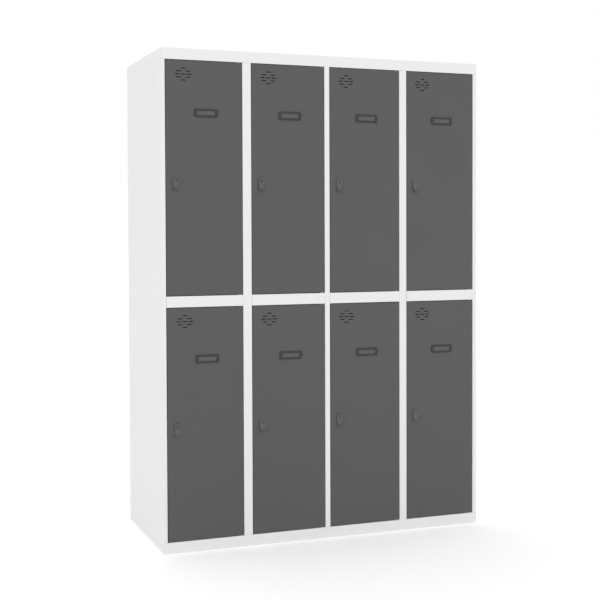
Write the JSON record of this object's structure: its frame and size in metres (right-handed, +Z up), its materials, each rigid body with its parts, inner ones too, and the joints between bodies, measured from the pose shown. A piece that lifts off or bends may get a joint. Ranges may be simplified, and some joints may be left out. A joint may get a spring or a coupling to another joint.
{
  "type": "multi-door steel locker",
  "caption": "Free-standing sheet-steel cloakroom locker with stacked tiers of hinged, vented doors, cam locks, label holders and a coat rail in each compartment.",
  "frame": {"origin": "on the floor, under the middle of the overall box", "axes": "+X to the right across the front, +Y from the doors to the back, +Z up"},
  "size_m": [1.26, 0.564, 1.8],
  "materials": {
    "light_grey_paint": "fine matt powder coat",
    "anthracite_paint": "fine matt powder coat",
    "black_plastic": "lightly grained moulding",
    "black_casting": "satin black coating on a zinc casting",
    "dark_nickel": "dark nickel plate",
    "bright_zinc": "bright zinc plate"
  },
  "bodies": {
    "carcase": {"left_side_panel": "light_grey_paint", "right_side_panel": "light_grey_paint", "partition_1": "light_grey_paint", "partition_2": "light_grey_paint", "partition_3": "light_grey_paint", "top_panel": "light_grey_paint", "base_panel": "light_grey_paint", "back_panel": "light_grey_paint", "shelf_1": "light_grey_paint", "shelf_2": "light_grey_paint", "shelf_3": "light_grey_paint", "shelf_4": "light_grey_paint", "coat_rail_lower_1": "bright_zinc", "coat_rail_lower_2": "bright_zinc", "coat_rail_lower_3": "bright_zinc", "coat_rail_lower_4": "bright_zinc", "coat_rail_upper_1": "bright_zinc", "coat_rail_upper_2": "bright_zinc", "coat_rail_upper_3": "bright_zinc", "coat_rail_upper_4": "bright_zinc", "hinge_pin_lower_1": "bright_zinc", "hinge_pin_lower_2": "bright_zinc", "hinge_pin_lower_3": "bright_zinc", "hinge_pin_lower_4": "bright_zinc", "hinge_pin_upper_1": "bright_zinc", "hinge_pin_upper_2": "bright_zinc", "hinge_pin_upper_3": "bright_zinc", "hinge_pin_upper_4": "bright_zinc"},
    "lower_door_1": {"door_lower_1": "anthracite_paint", "label_holder_lower_1": "black_plastic", "lock_housing_lower_1": "black_casting"},
    "lower_door_2": {"door_lower_2": "anthracite_paint", "label_holder_lower_2": "black_plastic", "lock_housing_lower_2": "black_casting"},
    "lower_door_3": {"door_lower_3": "anthracite_paint", "label_holder_lower_3": "black_plastic", "lock_housing_lower_3": "black_casting"},
    "lower_door_4": {"door_lower_4": "anthracite_paint", "label_holder_lower_4": "black_plastic", "lock_housing_lower_4": "black_casting"},
    "upper_door_1": {"door_upper_1": "anthracite_paint", "label_holder_upper_1": "black_plastic", "lock_housing_upper_1": "black_casting"},
    "upper_door_2": {"door_upper_2": "anthracite_paint", "label_holder_upper_2": "black_plastic", "lock_housing_upper_2": "black_casting"},
    "upper_door_3": {"door_upper_3": "anthracite_paint", "label_holder_upper_3": "black_plastic", "lock_housing_upper_3": "black_casting"},
    "upper_door_4": {"door_upper_4": "anthracite_paint", "label_holder_upper_4": "black_plastic", "lock_housing_upper_4": "black_casting"},
    "lower_lock_1": {"lock_plug_lower_1": "dark_nickel"},
    "lower_lock_2": {"lock_plug_lower_2": "dark_nickel"},
    "lower_lock_3": {"lock_plug_lower_3": "dark_nickel"},
    "lower_lock_4": {"lock_plug_lower_4": "dark_nickel"},
    "upper_lock_1": {"lock_plug_upper_1": "dark_nickel"},
    "upper_lock_2": {"lock_plug_upper_2": "dark_nickel"},
    "upper_lock_3": {"lock_plug_upper_3": "dark_nickel"},
    "upper_lock_4": {"lock_plug_upper_4": "dark_nickel"}
  },
  "joints": [
    {"name": "hinge_lower_1", "type": "hinge", "parent": "carcase", "child": "lower_door_1", "pos_m": [-0.342, -0.26253, 0.04], "axis": [0, 0, 1], "range_deg": [0, 110]},
    {"name": "hinge_lower_2", "type": "hinge", "parent": "carcase", "child": "lower_door_2", "pos_m": [-0.022, -0.26253, 0.04], "axis": [0, 0, 1], "range_deg": [0, 110]},
    {"name": "hinge_lower_3", "type": "hinge", "parent": "carcase", "child": "lower_door_3", "pos_m": [0.285, -0.26253, 0.04], "axis": [0, 0, 1], "range_deg": [0, 110]},
    {"name": "hinge_lower_4", "type": "hinge", "parent": "carcase", "child": "lower_door_4", "pos_m": [0.602, -0.26253, 0.04], "axis": [0, 0, 1], "range_deg": [0, 110]},
    {"name": "hinge_upper_1", "type": "hinge", "parent": "carcase", "child": "upper_door_1", "pos_m": [-0.342, -0.26253, 0.92], "axis": [0, 0, 1], "range_deg": [0, 110]},
    {"name": "hinge_upper_2", "type": "hinge", "parent": "carcase", "child": "upper_door_2", "pos_m": [-0.022, -0.26253, 0.92], "axis": [0, 0, 1], "range_deg": [0, 110]},
    {"name": "hinge_upper_3", "type": "hinge", "parent": "carcase", "child": "upper_door_3", "pos_m": [0.285, -0.26253, 0.92], "axis": [0, 0, 1], "range_deg": [0, 110]},
    {"name": "hinge_upper_4", "type": "hinge", "parent": "carcase", "child": "upper_door_4", "pos_m": [0.602, -0.26253, 0.92], "axis": [0, 0, 1], "range_deg": [0, 110]},
    {"name": "lock_lower_1", "type": "hinge", "parent": "lower_door_1", "child": "lower_lock_1", "pos_m": [-0.579, -0.268, 0.454], "axis": [0, 1, 0], "range_deg": [0, 90]},
    {"name": "lock_lower_2", "type": "hinge", "parent": "lower_door_2", "child": "lower_lock_2", "pos_m": [-0.259, -0.268, 0.454], "axis": [0, 1, 0], "range_deg": [0, 90]},
    {"name": "lock_lower_3", "type": "hinge", "parent": "lower_door_3", "child": "lower_lock_3", "pos_m": [0.048, -0.268, 0.454], "axis": [0, 1, 0], "range_deg": [0, 90]},
    {"name": "lock_lower_4", "type": "hinge", "parent": "lower_door_4", "child": "lower_lock_4", "pos_m": [0.365, -0.268, 0.454], "axis": [0, 1, 0], "range_deg": [0, 90]},
    {"name": "lock_upper_1", "type": "hinge", "parent": "upper_door_1", "child": "upper_lock_1", "pos_m": [-0.579, -0.268, 1.334], "axis": [0, 1, 0], "range_deg": [0, 90]},
    {"name": "lock_upper_2", "type": "hinge", "parent": "upper_door_2", "child": "upper_lock_2", "pos_m": [-0.259, -0.268, 1.334], "axis": [0, 1, 0], "range_deg": [0, 90]},
    {"name": "lock_upper_3", "type": "hinge", "parent": "upper_door_3", "child": "upper_lock_3", "pos_m": [0.048, -0.268, 1.334], "axis": [0, 1, 0], "range_deg": [0, 90]},
    {"name": "lock_upper_4", "type": "hinge", "parent": "upper_door_4", "child": "upper_lock_4", "pos_m": [0.365, -0.268, 1.334], "axis": [0, 1, 0], "range_deg": [0, 90]}
  ]
}
